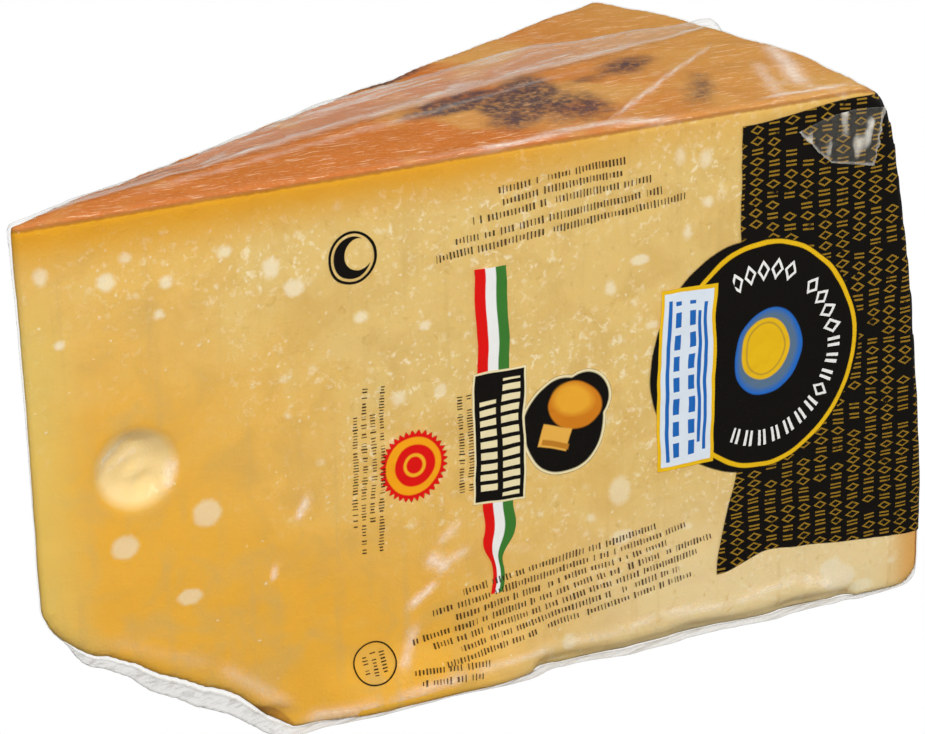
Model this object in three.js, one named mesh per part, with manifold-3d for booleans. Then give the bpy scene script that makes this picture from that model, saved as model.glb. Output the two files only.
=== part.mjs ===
// A wedge of hard grana cheese in its shrunk vacuum pack. Millimetres, +Z up.
//
// A wheel is split in two at half its height, and the half is cut into sectors. The wedge rests on the split
// face, so its flat rind is on top, the bulged rim rind is at +X and the tip, once the wheel's centre, is at -X.
// The tip's lower corner broke off when the wheel was split.
//
// The pack is two webs of film. The front web covers the cut face at -Y and carries the print, the back web
// covers the rest. They are welded to each other in a flange that runs all round: along the top rind, down the
// rim, forward under the front edge, up the broken corner and up the tip. The webs meet face to face there, and
// neither closes on itself.
import * as THREE from "three";
import { mergeVertices } from "three/addons/utils/BufferGeometryUtils.js";
import Module from "manifold-3d";

// ---- driving dimensions ----
const wheelFlatRadius = 186; // the flat rind ends here and the shoulder begins
const wheelShoulderRadius = 197.5; // where flat rind and rim would meet with no rounding
const wheelBellyRadius = 210; // widest, just above the split face
const splitHeight = 121.2; // outside of the film, from the split face to the flat rind
const sectorAngle = THREE.MathUtils.degToRad(26.9);
const tipRadius = 4; // the thin end is blunt: it starts this far from the wheel's axis
const edgeChamfer = 5; // the crumbled lower edge of the front cut face

const film = 0.3; // thickness of one web
const gap = 0.3; // clearance between cheese and film, and between the two webs of the flange
const skin = film + gap; // from the cheese to the outside of the film

const flangeTopAngle = THREE.MathUtils.degToRad(16); // where the flange crosses the top rind
const flangeFrontAngle = THREE.MathUtils.degToRad(0.4); // and where it reaches the rim's foot
const flangeFootHeight = 0.9; // its height along the lower front edge
const weld = { top: 10, rim: 7, heel: 1.6, front: 3, corner: 4.5, tip: 2.5 }; // free width of the flange
const tipWay = new THREE.Vector3(-0.5, 0.9, 0).normalize(); // how it stands on the blunt tip
const tipFootY = 1;

// The broken corner as seen from the front, from the tip edge down to the split face: x and z.
const brokenCorner = [
  [tipRadius, 44],
  [7.5, 34],
  [20, 26],
  [38, 15.5],
  [49, 8],
  [58, 0],
];

// ---- solids ----
const wasm = await Module();
wasm.setup();

/** A closed three.js geometry as a solid that can be cut and joined. */
function solid(geometry) {
  const bare = geometry.clone();
  bare.deleteAttribute("normal");
  bare.deleteAttribute("uv");
  const merged = mergeVertices(bare, 1e-4);
  return new wasm.Manifold(
    new wasm.Mesh({
      numProp: 3,
      vertProperties: new Float32Array(merged.attributes.position.array),
      triVerts: new Uint32Array(merged.index.array),
    }),
  );
}

/** A solid as a named mesh of the part. */
function named(name, body, material) {
  const { vertProperties, triVerts } = body.getMesh();
  const geometry = new THREE.BufferGeometry();
  geometry.setAttribute("position", new THREE.BufferAttribute(vertProperties, 3));
  geometry.setIndex(new THREE.BufferAttribute(triVerts, 1));
  geometry.computeVertexNormals();
  const mesh = new THREE.Mesh(geometry, material);
  mesh.name = name;
  return mesh;
}

/** Half a wheel's section from its axis out, radius against height, with the film's outside at grow = skin. */
function wheelSection(grow) {
  const out = grow - skin;
  const floor = -out;
  const top = splitHeight + out;
  const section = new THREE.Path();
  section.moveTo(0, floor);
  section.lineTo(wheelBellyRadius - 6 + out, floor);
  section.quadraticCurveTo(wheelBellyRadius + out, floor, wheelBellyRadius + out, 9);
  section.bezierCurveTo(
    wheelBellyRadius + out, 40,
    wheelBellyRadius - 4.5 + out, 80,
    wheelBellyRadius - 9 + out, 105,
  );
  section.quadraticCurveTo(wheelShoulderRadius + out, top, wheelFlatRadius, top);
  section.lineTo(0, top);
  return section.getPoints(7);
}

/** The broken corner's outline on the outside of the film, from the split face up to the tip: x and z. */
function brokenOutline() {
  const points = brokenCorner.toReversed().map(([x, z]) => new THREE.Vector2(x, z));
  return new THREE.SplineCurve(points).getPoints(20).map((p) => [p.x, Math.max(0, p.y)]);
}

/** The wheel's half, cut to the sector between the two cut faces and with the tip's lower corner broken off. */
function wedge(grow) {
  const wheel = new THREE.LatheGeometry(wheelSection(grow), 120).rotateX(Math.PI / 2);

  const reach = 260;
  const along = new THREE.Vector2(Math.cos(sectorAngle), Math.sin(sectorAngle));
  const outward = new THREE.Vector2(-along.y, along.x);
  const tipX = tipRadius - grow;
  const tipAlong = (tipX - outward.x * grow) / along.x;
  const plan = new THREE.Shape([
    new THREE.Vector2(tipX, -grow),
    new THREE.Vector2(reach, -grow),
    outward.clone().multiplyScalar(grow).addScaledVector(along, reach),
    outward.clone().multiplyScalar(grow).addScaledVector(along, tipAlong),
  ]);
  const sector = new THREE.ExtrudeGeometry(plan, { depth: splitHeight + 20, bevelEnabled: false });
  sector.translate(0, 0, -10);

  const outline = brokenOutline();
  const broken = new THREE.Shape([
    new THREE.Vector2(-20, -20),
    new THREE.Vector2(outline[0][0] - grow, -20),
    ...outline.map(([x, z]) => new THREE.Vector2(x - grow, z + skin - grow)),
    new THREE.Vector2(-20, outline.at(-1)[1] + skin - grow),
  ]);
  const corner = new THREE.ExtrudeGeometry(broken, { depth: 120, bevelEnabled: false });
  corner.rotateX(Math.PI / 2).translate(0, 60, 0);

  return solid(wheel).intersect(solid(sector)).subtract(solid(corner));
}

/** What crumbled off along the front cut face's lower edge, a long three-sided bar. */
function crumbledEdge() {
  const bar = new THREE.Shape([
    new THREE.Vector2(-2, -2),
    new THREE.Vector2(edgeChamfer + skin + 2, -2),
    new THREE.Vector2(-2, edgeChamfer + skin + 2),
  ]);
  const start = 62;
  const end = 192;
  const cutter = new THREE.ExtrudeGeometry(bar, { depth: end - start, bevelEnabled: false });
  // The bar's outline is drawn in y and z, and it is pushed along x.
  cutter.applyMatrix4(
    new THREE.Matrix4().makeBasis(
      new THREE.Vector3(0, 1, 0),
      new THREE.Vector3(0, 0, 1),
      new THREE.Vector3(1, 0, 0),
    ),
  );
  return solid(cutter.translate(start, 0, 0));
}

// ---- the flange ----

/** A point of the flange's foot on the film, the way the flange stands there, and its free width. */
function station(foot, way, width) {
  return { foot, way: way.normalize(), width };
}

const polar = (radius, angle, z) =>
  new THREE.Vector3(radius * Math.cos(angle), radius * Math.sin(angle), z);
const ease = (t) => t * t * (3 - 2 * t);
const within = (t) => Math.min(1, Math.max(0, t));
const steps = (count) => Array.from({ length: count + 1 }, (_, i) => i / count);

/** Along the top rind, from the tip to the shoulder, leaning over to the back. */
function topLeg() {
  const back = new THREE.Vector3(-Math.sin(flangeTopAngle), Math.cos(flangeTopAngle), 0);
  return steps(18).map((t) => {
    const radius = THREE.MathUtils.lerp(tipRadius, wheelFlatRadius - 1, t);
    const way = back.clone().multiplyScalar(0.8).add(new THREE.Vector3(0, 0, 0.7));
    const width = THREE.MathUtils.lerp(weld.tip, weld.top, ease(within(t * 2.4)));
    return station(polar(radius, flangeTopAngle, splitHeight), way, width);
  });
}

/** Over the shoulder and down the rim, folded down to the back, drawing forward to the heel of the front edge. */
function rimLeg() {
  const rim = wheelSection(skin).filter((p) => p.y > flangeFootHeight + 1 && p.x > wheelFlatRadius + 0.5);
  return rim.reverse().map((point) => {
    const t = 1 - point.y / splitHeight;
    const angle = THREE.MathUtils.lerp(flangeTopAngle, flangeFrontAngle, ease(within(t / 0.95)));
    const back = new THREE.Vector3(-Math.sin(angle), Math.cos(angle), 0);
    const lying = ease(within(t * 3)); // standing at the shoulder, lying against the rim below it
    const turned = ease(within((t - 0.8) / 0.2)); // straight out at the heel
    const way = back.multiplyScalar((0.8 + 0.1 * lying) * (1 - turned));
    way.add(polar(0.6 - 0.05 * lying * (1 - turned), angle, 0.25 * (1 - lying)));
    const width = THREE.MathUtils.lerp(weld.top, weld.rim, within(t * 5));
    return station(polar(point.x, angle, point.y), way, THREE.MathUtils.lerp(width, weld.heel, turned));
  });
}

/** Forward along the lower front edge, lying on what the wedge stands on. */
function frontLeg() {
  return steps(12).map((t) => {
    const x = THREE.MathUtils.lerp(wheelBellyRadius - 3.6, brokenCorner.at(-1)[0] - 0.2, t);
    const foot = new THREE.Vector3(x, -skin, flangeFootHeight);
    const width = THREE.MathUtils.lerp(weld.heel, weld.front, within(t * 4));
    return station(foot, new THREE.Vector3(0, -1, 0), width);
  });
}

/** Up the broken corner, standing out in the plane of the cut face, and turning to the back at the tip. */
function cornerLeg() {
  const outline = brokenOutline();
  return outline
    .map(([x, z], i) => {
      const [nextX, nextZ] = outline[Math.min(i + 1, outline.length - 1)];
      const [lastX, lastZ] = outline[Math.max(i - 1, 0)];
      const along = new THREE.Vector2(nextX - lastX, nextZ - lastZ).normalize();
      const t = i / (outline.length - 1);
      const turned = ease(within(z / 4)); // from forward to outward
      const folded = ease(within((t - 0.75) / 0.25));
      const way = new THREE.Vector3(-along.y * turned, -1 + 0.85 * turned, along.x * turned).normalize();
      way.lerp(tipWay, folded).normalize();
      const width = THREE.MathUtils.lerp(weld.front, weld.corner, turned);
      const room = way.z < 0 ? (z - skin) / -way.z : Infinity;
      const foot = new THREE.Vector3(x - skin, THREE.MathUtils.lerp(-0.2, tipFootY, folded), z);
      return station(foot, way, Math.min(room, THREE.MathUtils.lerp(width, weld.tip, folded)));
    })
    .filter(({ foot }) => foot.z > flangeFootHeight + 0.5);
}

/** Up the blunt tip, folded round to the back. */
function tipLeg() {
  const low = brokenCorner[0][1] + 0.4;
  return steps(8).map((t) => {
    const z = THREE.MathUtils.lerp(low, splitHeight - 0.4, t);
    return station(new THREE.Vector3(tipRadius - skin, tipFootY, z), tipWay.clone(), weld.tip);
  });
}

/** The flange's stations, once round the wedge, with three more between each leg and the next. */
function flangeStations() {
  const legs = [topLeg(), rimLeg(), frontLeg(), cornerLeg(), tipLeg()];
  return legs.flatMap((leg, i) => {
    const last = leg.at(-1);
    const next = legs[(i + 1) % legs.length][0];
    const between = [0.25, 0.5, 0.75].map((t) =>
      station(
        last.foot.clone().lerp(next.foot, t),
        last.way.clone().lerp(next.way, t),
        THREE.MathUtils.lerp(last.width, next.width, t),
      ),
    );
    return [...leg, ...between];
  });
}

/** A closed band that follows the stations: from `from` under the foot to `to(station)` past it, between two offsets. */
function band(stations, from, to, low, high) {
  const corners = [];
  const count = stations.length;
  stations.forEach(({ foot, way, width }, i) => {
    const before = stations[(i + count - 1) % count].foot;
    const after = stations[(i + 1) % count].foot;
    const across = after.clone().sub(before).cross(way).normalize();
    for (const [reach, offset] of [[from, low], [to(width), low], [to(width), high], [from, high]]) {
      corners.push(...foot.clone().addScaledVector(way, reach).addScaledVector(across, offset));
    }
  });
  const faces = [];
  for (let i = 0; i < count; i++) {
    const next = (i + 1) % count;
    for (let side = 0; side < 4; side++) {
      const a = i * 4 + side;
      const b = i * 4 + ((side + 1) % 4);
      const c = next * 4 + ((side + 1) % 4);
      const d = next * 4 + side;
      // Both broad sides fold along the same diagonal, so bands laid on each other never touch.
      faces.push(...(side < 2 ? [a, b, c, a, c, d] : [b, c, d, b, d, a]));
    }
  }
  const geometry = new THREE.BufferGeometry();
  geometry.setAttribute("position", new THREE.BufferAttribute(new Float32Array(corners), 3));
  geometry.setIndex(faces);
  return solid(geometry);
}

/** The two webs of the pack, front and back. */
function webs() {
  const room = wedge(gap); // what the cheese and its clearance take up
  const stations = flangeStations();
  const parting = band(stations, -1.4, () => 1, -gap / 2, gap / 2);
  const halves = wedge(skin).subtract(room).subtract(parting).decompose();
  const nearest = (half) => half.boundingBox().min[1];
  halves.sort((a, b) => nearest(a) - nearest(b));
  return halves.map((half, i) => {
    const low = i === 0 ? gap / 2 : -gap / 2 - film;
    const flange = band(stations, -film * 0.8, (width) => width, low, low + film);
    return half.add(flange.subtract(room));
  });
}

// ---- the part ----
const cheeseMaterial = new THREE.MeshStandardMaterial({ color: 0xe2bf7c, roughness: 0.55, metalness: 0 });
const printedFilm = new THREE.MeshStandardMaterial({ color: 0x3a3322, roughness: 0.2, metalness: 0 });
const clearFilm = new THREE.MeshStandardMaterial({ color: 0xe9e6df, roughness: 0.15, metalness: 0 });

const [frontWeb, backWeb] = webs();
const group = new THREE.Group();
group.add(
  named("cheese_wedge", wedge(0).subtract(crumbledEdge()), cheeseMaterial),
  named("film_front_web", frontWeb, printedFilm),
  named("film_back_web", backWeb, clearFilm),
);

// The origin is the middle of the box's underside.
const box = new THREE.Box3().setFromObject(group);
const centre = box.getCenter(new THREE.Vector3());
group.position.set(-centre.x, -centre.y, -box.min.z);

export default group;
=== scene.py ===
"""A wedge of hard grana cheese in its shrunk vacuum pack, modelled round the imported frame.

The cheese is a sector of half a wheel with its broken corner, its eye and its crystals. Two webs
of clear film hug it and meet in a welded flange, and the front web carries a generic print.
"""

import math

import bmesh
import bpy
from bpy.props import FloatProperty, FloatVectorProperty, IntProperty, PointerProperty
from mathutils import Matrix, Vector, noise


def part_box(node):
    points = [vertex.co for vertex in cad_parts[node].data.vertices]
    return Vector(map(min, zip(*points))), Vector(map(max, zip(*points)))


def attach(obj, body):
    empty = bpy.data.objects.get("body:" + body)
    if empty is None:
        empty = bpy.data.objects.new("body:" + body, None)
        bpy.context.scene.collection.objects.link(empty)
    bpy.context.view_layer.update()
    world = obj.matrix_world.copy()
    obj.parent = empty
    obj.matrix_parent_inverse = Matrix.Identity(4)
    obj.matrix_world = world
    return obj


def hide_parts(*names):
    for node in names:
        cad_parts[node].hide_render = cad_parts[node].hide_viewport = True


bl_info = {
    "name": "Cheese Wedge in Film",
    "version": (1, 0, 0),
    "blender": (4, 5, 0),
    "location": "View3D > Sidebar > Cheese",
    "description": "Models a wedge of hard cheese and the shrunk film pack round it",
    "category": "Add Mesh",
}

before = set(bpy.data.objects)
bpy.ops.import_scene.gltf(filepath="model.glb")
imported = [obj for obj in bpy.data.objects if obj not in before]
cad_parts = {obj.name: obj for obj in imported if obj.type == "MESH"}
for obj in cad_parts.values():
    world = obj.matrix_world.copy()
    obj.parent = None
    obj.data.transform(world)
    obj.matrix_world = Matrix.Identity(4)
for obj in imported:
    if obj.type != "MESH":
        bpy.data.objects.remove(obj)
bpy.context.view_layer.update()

MM = 0.001
CHEESE_LOW = Vector(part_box("cheese_wedge")[0])
TIP_RADIUS = 4.0  # the thin end starts this far from the wheel's axis
BELLY = 209.4  # radius of the wheel at its widest
TOP = 120.6  # height of the flat rind
FILM_TOP = 121.2  # height of the film on it
# The wheel's axis, in the plane of the front cut face and on what the wedge stands on.
AXIS = Vector((CHEESE_LOW.x - TIP_RADIUS * MM, CHEESE_LOW.y, 0.0))


# ---- sizes and colours ----


def size_setting(name, description, default, low):
    return FloatProperty(name=name, description=description, default=default, min=low)


def colour_setting(name, description, default):
    return FloatVectorProperty(
        name=name, description=description, default=default, subtype="COLOR"
    )


class CheeseSizes(bpy.types.PropertyGroup):
    """Sizes of the wedge, in millimetres, and the colours of its paste and rind."""

    belly_radius: size_setting(
        "Belly radius", "Widest radius of the wheel, just above the split face", BELLY, 100.0
    )
    flat_radius: size_setting(
        "Flat radius", "Radius at which the flat rind ends and the shoulder begins", 191.0, 80.0
    )
    top: size_setting("Top", "Height of the flat rind", TOP, 40.0)
    foot: size_setting("Foot", "Height of the split face", 0.6, 0.0)
    sector: FloatProperty(
        name="Sector",
        description="Angle between the two cut faces",
        default=math.radians(26.9),
        subtype="ANGLE",
    )
    voxel: size_setting("Voxel", "Size of the fine mesh's faces", 1.05, 0.5)
    pale: colour_setting(
        "Pale paste", "Granular paste in the middle of the cut face", (0.78, 0.55, 0.19)
    )
    amber: colour_setting(
        "Amber paste", "Glassy paste towards the tip and the split face", (0.84, 0.44, 0.046)
    )
    golden: colour_setting("Golden paste", "Paste just under the rind", (0.72, 0.34, 0.012))
    rind: colour_setting("Rind", "Oiled orange-brown rind", (0.52, 0.15, 0.020))


class FilmSizes(bpy.types.PropertyGroup):
    """Sizes of the pack's film, in millimetres, and the inks on it."""

    thickness: size_setting("Thickness", "Thickness of one web", 0.12, 0.05)
    clearance: size_setting(
        "Clearance", "Smallest distance from the cheese to the film", 0.22, 0.0
    )
    flange: size_setting("Flange", "Free width of the welded flange along the top rind", 7.6, 1.0)
    rows: IntProperty(
        name="Flange rows", description="Rows of faces across the flange", default=7, min=2
    )
    voxel: size_setting("Voxel", "Size of the web's faces", 1.25, 0.5)
    black_ink: colour_setting(
        "Black ink", "Ink of the panel and the small marks", (0.006, 0.005, 0.004)
    )
    gold_ink: colour_setting("Gold ink", "Ink of the lozenges on the panel", (0.29, 0.165, 0.016))


# ---- small tools ----


def at(x, y, z):
    """The place in the frame this far from the wheel's axis, the front face and the floor."""
    return AXIS + Vector((x, y, z)) * MM


def local(co):
    """A place in the frame as millimetres from the wheel's axis, the front face and the floor."""
    return (co - AXIS) / MM


def within(value):
    return min(1.0, max(0.0, value))


def ease(value):
    value = within(value)
    return value * value * (3.0 - 2.0 * value)


def mix(a, b, t):
    return a + (b - a) * t


def deselect():
    if bpy.context.object and bpy.context.object.mode != "OBJECT":
        bpy.ops.object.mode_set(mode="OBJECT")
    bpy.ops.object.select_all(action="DESELECT")


def activate(ob):
    deselect()
    ob.select_set(True)
    bpy.context.view_layer.objects.active = ob


def duplicate(ob, name):
    activate(ob)
    bpy.ops.object.duplicate()
    copy = bpy.context.object
    copy.name = name
    copy.data.name = name
    return copy


def apply_modifier(ob, kind, **values):
    activate(ob)
    modifier = ob.modifiers.new(kind.title(), kind)
    for key, value in values.items():
        setattr(modifier, key, value)
    bpy.ops.object.modifier_apply(modifier=modifier.name)


def clouds(name, size, depth=2):
    """A soft noise texture for the Displace modifier, its size in millimetres."""
    texture = bpy.data.textures.new(name, "CLOUDS")
    texture.noise_scale = size * MM
    texture.noise_depth = depth
    return texture


def sculpt(ob, move):
    """Moves each vertex by what move(place, normal) gives, all in millimetres."""
    mesh = ob.data
    moved = [move(local(v.co), v.normal) for v in mesh.vertices]
    for vertex, step in zip(mesh.vertices, moved):
        vertex.co += step * MM
    mesh.update()


def finish_piece(ob, node, material):
    activate(ob)
    bpy.ops.object.shade_smooth()
    ob.data.materials.clear()
    ob.data.materials.append(material)
    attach(ob, "root")
    if node:
        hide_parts(node)


# ---- the wedge's form ----


def curve_points(a, b, c, d, count):
    """Points along a cubic from a to d, without its first point."""
    points = []
    for i in range(1, count + 1):
        t = i / count
        s = 1.0 - t
        points.append(
            tuple(
                (
                    s ** 3 * a[k] + 3 * s * s * t * b[k] + 3 * s * t * t * c[k] + t ** 3 * d[k]
                    for k in (0, 1)
                )
            )
        )
    return points


def wheel_section(sizes):
    """Radius and height round half the wheel's section, from the split face to the flat rind."""
    belly, top, foot = sizes.belly_radius, sizes.top, sizes.foot
    section = [(2.0, foot), (belly - 6.0, foot)]
    section += curve_points(section[-1], (belly - 2.0, foot), (belly, foot + 3.0), (belly, 9.0), 6)
    section += curve_points(
        section[-1], (belly, 40.0), (belly - 4.5, 80.0), (belly - 9.0, 105.0), 12
    )
    section += curve_points(
        section[-1], (belly - 10.0, 112.0), (belly - 12.2, top), (sizes.flat_radius, top), 10
    )
    section.append((2.0, top))
    return section


def prism(name, outline, start, end):
    """A solid with an outline of x and z in millimetres, pushed back from y = start to y = end."""
    deselect()
    bpy.ops.mesh.primitive_circle_add(vertices=len(outline), radius=0.05, fill_type="NGON")
    ob = bpy.context.object
    ob.name = name
    for vertex, (x, z) in zip(ob.data.vertices, outline):
        vertex.co = at(x, start, z)
    bpy.ops.object.mode_set(mode="EDIT")
    bpy.ops.mesh.select_all(action="SELECT")
    bpy.ops.mesh.extrude_region_move(
        TRANSFORM_OT_translate={"value": (0.0, (end - start) * MM, 0.0)}
    )
    bpy.ops.mesh.select_all(action="SELECT")
    bpy.ops.mesh.normals_make_consistent(inside=False)
    bpy.ops.object.mode_set(mode="OBJECT")
    ob.location = (0.0, 0.0, 0.0)
    return ob


def take_away(ob, cutter):
    """Cuts the cutter out of ob and removes it."""
    apply_modifier(ob, "BOOLEAN", operation="DIFFERENCE", solver="EXACT", object=cutter)
    bpy.data.objects.remove(cutter)


def roughen(ob, voxel, size, strength):
    """Breaks up a plain cutter into a rough, crumbled one."""
    apply_modifier(ob, "REMESH", mode="VOXEL", voxel_size=voxel * MM)
    apply_modifier(
        ob,
        "DISPLACE",
        texture=clouds(ob.name + "_breaks", size, 3),
        strength=strength * MM,
        mid_level=0.5,
        texture_coords="OBJECT",
    )


def sector(name, sizes):
    """The sector of the half wheel between its two cut faces, with the tip cut blunt."""
    section = wheel_section(sizes)
    deselect()
    bpy.ops.mesh.primitive_circle_add(vertices=len(section), radius=0.05, fill_type="NGON")
    ob = bpy.context.object
    ob.name = name
    for vertex, (radius, height) in zip(ob.data.vertices, section):
        vertex.co = at(radius, 0.0, height)
    bpy.ops.object.mode_set(mode="EDIT")
    bpy.ops.mesh.select_all(action="SELECT")
    bpy.ops.mesh.spin(steps=24, angle=sizes.sector, center=AXIS, axis=(0.0, 0.0, -1.0))
    bpy.ops.mesh.select_all(action="SELECT")
    bpy.ops.mesh.bisect(
        plane_co=at(TIP_RADIUS, 0.0, 0.0),
        plane_no=(1.0, 0.0, 0.0),
        clear_inner=True,
        use_fill=True,
    )
    bpy.ops.mesh.select_all(action="SELECT")
    bpy.ops.mesh.normals_make_consistent(inside=False)
    bpy.ops.object.mode_set(mode="OBJECT")
    ob.location = (0.0, 0.0, 0.0)
    return ob


EYE = (25.6, 66.2)  # x and z of the large eye in the front face
EYE_RADIUS = 8.2


def eye_depth(place, depth):
    """How far the front face is sunk at a place, in and round the large eye."""
    reach = math.hypot(place.x - EYE[0], place.z - EYE[1]) / EYE_RADIUS
    if reach > 1.35 or place.y > 6.0:
        return 0.0
    return depth * (1.0 - ease((reach - 0.45) / 0.75))


# The broken corner's outline in x and z, where the paste broke off and where the film crosses it.
BROKEN_PASTE = (
    (3.9, 45.0), (4.0, 40.5), (4.9, 36.9), (7.0, 33.4), (12.6, 28.0), (20.5, 24.9), (27.1, 20.7),
    (33.6, 17.1), (38.4, 13.9), (44.4, 10.9), (48.5, 7.4), (51.0, 3.6), (57.5, 0.4),
)  # fmt: skip
BROKEN_WRAP = (
    (3.9, 45.0), (4.0, 40.5), (4.9, 36.4), (7.0, 32.8), (12.6, 27.2), (20.5, 23.6), (27.6, 19.4),
    (35.0, 15.0), (41.0, 11.2), (46.0, 7.8), (50.0, 4.4), (53.5, 1.8), (57.4, 0.2),
)  # fmt: skip


def broken_corner(name, outline):
    beyond = [(outline[-1][0] - 1.0, -20.0), (-20.0, -20.0), (-20.0, outline[0][1])]
    return prism(name, list(outline) + beyond, -15.0, 45.0)


# ---- nodes ----


class Value:
    """A node's output. Sums, products and the like add the math nodes that work them out."""

    def __init__(self, nodes, socket):
        self.nodes = nodes
        self.socket = socket

    def __add__(self, other):
        return self.nodes.math("ADD", self, other)

    def __radd__(self, other):
        return self.nodes.math("ADD", other, self)

    def __sub__(self, other):
        return self.nodes.math("SUBTRACT", self, other)

    def __rsub__(self, other):
        return self.nodes.math("SUBTRACT", other, self)

    def __mul__(self, other):
        return self.nodes.math("MULTIPLY", self, other)

    def __rmul__(self, other):
        return self.nodes.math("MULTIPLY", other, self)

    def __truediv__(self, other):
        return self.nodes.math("DIVIDE", self, other)

    def __abs__(self):
        return self.nodes.math("ABSOLUTE", self)


class Wired:
    """A node in a tree. Its outputs are read as values, by name or by number."""

    def __init__(self, nodes, node):
        self.nodes = nodes
        self.inputs = node.inputs
        self.outputs = node.outputs

    def __getitem__(self, key):
        return Value(self.nodes, self.outputs[key])


class Nodes:
    """Adds nodes to a tree and wires them. An input takes a number, a tuple or a Value."""

    def __init__(self, tree):
        self.tree = tree

    def add(self, kind, inputs=None, **settings):
        node = self.tree.nodes.new(kind)
        for key, value in settings.items():
            setattr(node, key, value)
        for key, value in (inputs or {}).items():
            self.set(node.inputs[key], value)
        return Wired(self, node)

    def set(self, socket, value):
        if isinstance(value, Value):
            self.tree.links.new(value.socket, socket)
        else:
            socket.default_value = value

    def math(self, operation, a, b=0.0, c=0.0, clamp=False):
        inputs = {0: a, 1: b, 2: c}
        return self.add("ShaderNodeMath", inputs, operation=operation, use_clamp=clamp)[0]

    def ramp(self, value, low, high, smooth=True):
        """0 below low and 1 above high, and the other way round where low is above high."""
        inputs = {"Value": value, "From Min": low, "From Max": high}
        kind = "SMOOTHSTEP" if smooth else "LINEAR"
        return self.add("ShaderNodeMapRange", inputs, interpolation_type=kind)["Result"]

    def blend(self, factor, a, b):
        """The colour a where the factor is 0 and b where it is 1."""
        node = self.add("ShaderNodeMix", data_type="RGBA")
        self.set(node.inputs["Factor"], factor)
        for socket, value in ((node.inputs[6], a), (node.inputs[7], b)):
            if isinstance(value, tuple) and len(value) == 3:
                value = (*value, 1.0)
            self.set(socket, value)
        return node[2]

    def switch(self, factor, a, b):
        """The surface a where the factor is 0 and b where it is 1."""
        return self.add("ShaderNodeMixShader", {0: factor, 1: a, 2: b})[0]

    def group(self, name, inputs):
        return self.add("ShaderNodeGroup", inputs, node_tree=group(name))

    def noise(self, vector, scale, detail=2.0, roughness=0.5, distortion=0.0):
        inputs = {
            "Vector": vector,
            "Scale": scale,
            "Detail": detail,
            "Roughness": roughness,
            "Distortion": distortion,
        }
        return self.add("ShaderNodeTexNoise", inputs)["Fac"]

    def chance(self, **inputs):
        """White noise at a vector, or at W alone."""
        kind = "1D" if "W" in inputs else "3D"
        return self.add("ShaderNodeTexWhiteNoise", inputs, noise_dimensions=kind)

    def vector(self, x, y, z):
        return self.add("ShaderNodeCombineXYZ", {0: x, 1: y, 2: z})[0]

    def channels(self, colour):
        return self.add("ShaderNodeSeparateColor", {0: colour})

    def most(self, values):
        result = values[0]
        for value in values[1:]:
            result = self.math("MAXIMUM", result, value)
        return result


def new_group(name, inputs, outputs):
    """An empty shader node group. Inputs are name: default, and a tuple makes a vector."""
    tree = bpy.data.node_groups.new(name, "ShaderNodeTree")
    for key, default in inputs.items():
        kind = "NodeSocketVector" if isinstance(default, tuple) else "NodeSocketFloat"
        socket = tree.interface.new_socket(key, in_out="INPUT", socket_type=kind)
        socket.default_value = default
    for key, kind in outputs.items():
        tree.interface.new_socket(key, in_out="OUTPUT", socket_type=kind)
    nodes = Nodes(tree)
    start = nodes.add("NodeGroupInput")
    end = nodes.add("NodeGroupOutput")
    return tree, nodes, start, end.inputs


def place_group():
    """Millimetres from the wheel's axis, front face and floor, and the depths in the wheel."""
    tree, nodes, given, out = new_group(
        "wheel_place",
        {"Object": (0.0, 0.0, 0.0)},
        {
            "Place": "NodeSocketVector",
            "X": "NodeSocketFloat",
            "Y": "NodeSocketFloat",
            "Z": "NodeSocketFloat",
            "Depth": "NodeSocketFloat",
            "Rim Depth": "NodeSocketFloat",
        },
    )
    moved = nodes.add(
        "ShaderNodeVectorMath", {0: given["Object"], 1: tuple(AXIS)}, operation="SUBTRACT"
    )
    scaled = nodes.add("ShaderNodeVectorMath", {0: moved[0]}, operation="SCALE")
    scaled.inputs["Scale"].default_value = 1.0 / MM
    parts = nodes.add("ShaderNodeSeparateXYZ", {0: scaled[0]})
    x, y, z = (parts[i] for i in range(3))
    radius = nodes.math("SQRT", x * x + y * y)
    # The rim leans in towards the flat rind.
    rise = z - 9.0
    rim_depth = BELLY - radius - rise * rise * 0.00085
    top_depth = TOP - z
    depth = nodes.math("SMOOTH_MIN", top_depth, rim_depth, 9.0)
    nodes.set(out["Place"], scaled[0])
    for key, value in (("X", x), ("Y", y), ("Z", z)):
        nodes.set(out[key], value)
    nodes.set(out["Depth"], depth)
    nodes.set(out["Rim Depth"], rim_depth)
    return tree


def turned_offsets(nodes, given):
    """The place relative to a mark's centre, turned into the mark's own directions."""
    x = given["X"] - given["Centre X"]
    z = given["Z"] - given["Centre Z"]
    cos = nodes.math("COSINE", given["Turn"])
    sin = nodes.math("SINE", given["Turn"])
    across = x * cos + z * sin
    along = z * cos - x * sin
    return across, along


MARK_INPUTS = {
    "X": 0.0,
    "Z": 0.0,
    "Centre X": 0.0,
    "Centre Z": 0.0,
    "Half Width": 5.0,
    "Half Height": 5.0,
    "Turn": 0.0,
    "Edge": 0.12,
}


def oval_group():
    """The mask of a filled oval."""
    tree, nodes, given, out = new_group("oval_mark", MARK_INPUTS, {"Mask": "NodeSocketFloat"})
    across, along = turned_offsets(nodes, given)
    u = across / given["Half Width"]
    v = along / given["Half Height"]
    reach = nodes.math("SQRT", u * u + v * v)
    inside = (1.0 - reach) * given["Half Width"]
    share = inside / given["Edge"]
    nodes.set(out["Mask"], nodes.math("ADD", share, 0.5, clamp=True))
    return tree


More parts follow.
